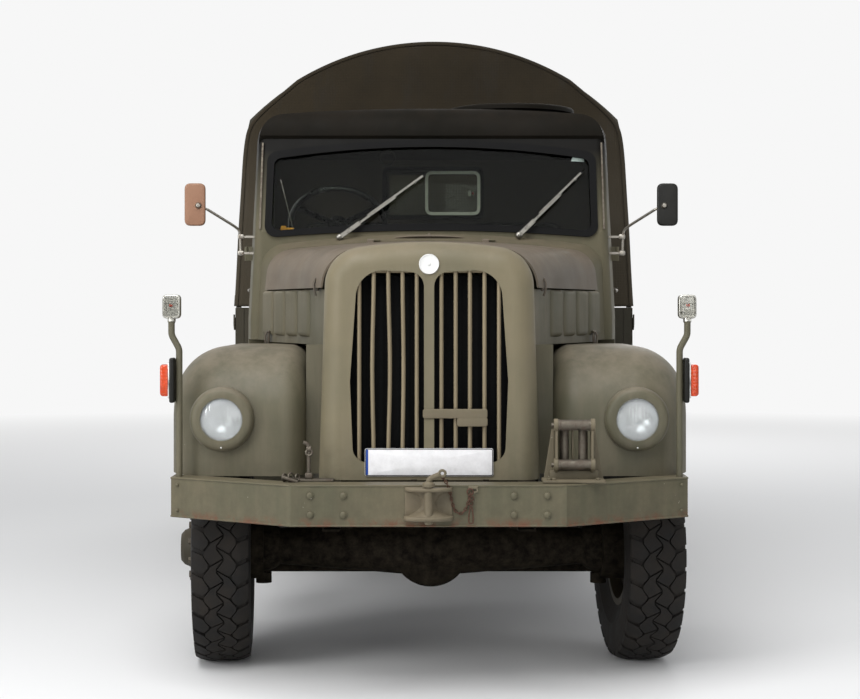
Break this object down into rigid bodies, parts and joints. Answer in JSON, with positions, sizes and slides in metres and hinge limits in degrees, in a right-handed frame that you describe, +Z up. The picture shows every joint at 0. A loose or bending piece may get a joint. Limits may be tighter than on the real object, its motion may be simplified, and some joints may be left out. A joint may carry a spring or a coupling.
{
  "type": "military cargo truck",
  "caption": "Bonneted four-wheel-drive military cargo truck with slatted grille, two-door cab, roof hatch and canvas-covered drop-side bed.",
  "frame": {"origin": "on the ground, under the middle of the overall length and width", "axes": "+X to the truck's left, +Y to its tail (the front faces -Y), +Z up"},
  "size_m": [2.316, 7.3699, 3.139],
  "materials": {
    "bare_black": "satin black",
    "canvas": "proofed dark brown canvas",
    "chassis": "satin dark olive chassis paint",
    "glass": "clear",
    "grille": "matt olive grey",
    "iron": "painted casting",
    "paint": "matt olive grey military paint",
    "plastic": "satin black",
    "plate": "gloss white plate, blank",
    "radiator": "matt black",
    "roof_paint": "matt dark olive, dusty",
    "rubber": "matt black rubber",
    "seat": "dark grey-brown cloth",
    "steel": "oily steel",
    "tyre": "road-worn rubber",
    "wood": "painted planks"
  },
  "bodies": {
    "truck": {"bed_floor": "wood", "bed_frame": "chassis", "bumper_fittings": "chassis", "cab_fittings": "paint", "cab_floor": "paint", "cab_front": "paint", "cab_rear": "paint", "cab_roof": "roof_paint", "cab_steps": "chassis", "canvas_bows": "chassis", "canvas_cover": "canvas", "cross_members": "chassis", "engine_and_gearbox": "iron", "fenders": "paint", "fixed_glass": "glass", "frame_rails": "chassis", "front_axle": "chassis", "front_bumper": "paint", "front_plates": "plate", "grille_bars": "grille", "lamps": "glass", "leaf_springs": "steel", "marker_posts": "bare_black", "mirrors": "bare_black", "mud_flaps": "rubber", "nose_shell": "paint", "propeller_shafts": "steel", "radiator": "radiator", "rear_axle": "chassis", "rear_tow_jaw": "chassis", "seat_cushions": "seat", "side_panels": "paint", "spare_wheel": "tyre", "steering_wheel": "plastic", "tanks_and_muffler": "chassis", "window_rubbers": "rubber"},
    "steer_left": {"knuckle_left": "iron"},
    "steer_right": {"knuckle_right": "iron"},
    "tie_rod": {"tie_rod": "chassis"},
    "wheel_front_left": {"tyre_front_left": "tyre", "rim_front_left": "chassis"},
    "wheel_front_right": {"tyre_front_right": "tyre", "rim_front_right": "chassis"},
    "wheels_rear_left": {"tyres_rear_left": "tyre", "rims_rear_left": "chassis"},
    "wheels_rear_right": {"tyres_rear_right": "tyre", "rims_rear_right": "chassis"},
    "door_left": {"door_left": "paint", "door_glass_left": "glass"},
    "door_right": {"door_right": "paint", "door_glass_right": "glass"},
    "bonnet": {"bonnet": "paint"},
    "hatch_lid": {"hatch_lid": "roof_paint"},
    "tailgate": {"tailgate": "wood"},
    "side_board_front_left": {"side_board_front_left": "wood"},
    "side_board_front_right": {"side_board_front_right": "wood"},
    "side_board_rear_left": {"side_board_rear_left": "wood"},
    "side_board_rear_right": {"side_board_rear_right": "wood"}
  },
  "joints": [
    {"name": "steer_left", "type": "hinge", "parent": "truck", "child": "steer_left", "pos_m": [0.765, -2.515, 0.509], "axis": [0, 0, 1], "range_deg": [-35, 25]},
    {"name": "steer_right", "type": "hinge", "parent": "truck", "child": "steer_right", "pos_m": [-0.765, -2.515, 0.509], "axis": [0, 0, 1], "range_deg": [-35, 25]},
    {"name": "tie_rod_pin", "type": "hinge", "parent": "steer_left", "child": "tie_rod", "pos_m": [0.74757, -2.31576, 0.386], "axis": [0, 0, 1], "range_deg": [-25, 35]},
    {"name": "wheel_front_left_spin", "type": "hinge", "parent": "steer_left", "child": "wheel_front_left", "pos_m": [0.94332, -2.4994, 0.509], "axis": [0.9962, 0.0872, 0], "continuous": true},
    {"name": "wheel_front_right_spin", "type": "hinge", "parent": "steer_right", "child": "wheel_front_right", "pos_m": [-0.94332, -2.5306, 0.509], "axis": [0.9962, 0.0872, 0], "continuous": true},
    {"name": "wheels_rear_left_spin", "type": "hinge", "parent": "truck", "child": "wheels_rear_left", "pos_m": [0.87, 1.685, 0.509], "axis": [1, 0, 0], "continuous": true},
    {"name": "wheels_rear_right_spin", "type": "hinge", "parent": "truck", "child": "wheels_rear_right", "pos_m": [-0.87, 1.685, 0.509], "axis": [1, 0, 0], "continuous": true},
    {"name": "door_left_hinge", "type": "hinge", "parent": "truck", "child": "door_left", "pos_m": [0.904, -2.008, 1.6], "axis": [0, 0, -1], "range_deg": [0, 70]},
    {"name": "door_right_hinge", "type": "hinge", "parent": "truck", "child": "door_right", "pos_m": [-0.904, -2.008, 1.6], "axis": [0, 0, 1], "range_deg": [0, 70]},
    {"name": "bonnet_hinge", "type": "hinge", "parent": "truck", "child": "bonnet", "pos_m": [0, -2.318, 1.918], "axis": [-1, 0, 0], "range_deg": [0, 50]},
    {"name": "hatch_lid_hinge", "type": "hinge", "parent": "truck", "child": "hatch_lid", "pos_m": [0.405, -1.152, 2.606], "axis": [-1, 0, 0], "range_deg": [0, 100]},
    {"name": "tailgate_hinge", "type": "hinge", "parent": "truck", "child": "tailgate", "pos_m": [0, 3.673, 1.1493], "axis": [-1, 0, 0], "range_deg": [0, 170]},
    {"name": "side_board_front_left_hinge", "type": "hinge", "parent": "truck", "child": "side_board_front_left", "pos_m": [1.15, 0.6, 1.1493], "axis": [0, 1, 0], "range_deg": [0, 170]},
    {"name": "side_board_front_right_hinge", "type": "hinge", "parent": "truck", "child": "side_board_front_right", "pos_m": [-1.15, 0.6, 1.1493], "axis": [0, -1, 0], "range_deg": [0, 170]},
    {"name": "side_board_rear_left_hinge", "type": "hinge", "parent": "truck", "child": "side_board_rear_left", "pos_m": [1.15, 2.635, 1.1493], "axis": [0, 1, 0], "range_deg": [0, 170]},
    {"name": "side_board_rear_right_hinge", "type": "hinge", "parent": "truck", "child": "side_board_rear_right", "pos_m": [-1.15, 2.635, 1.1493], "axis": [0, -1, 0], "range_deg": [0, 170]}
  ],
  "couplings": [
    {"joint": "steer_right", "follows": "steer_left", "ratio": 1},
    {"joint": "tie_rod_pin", "follows": "steer_left", "ratio": -1}
  ]
}
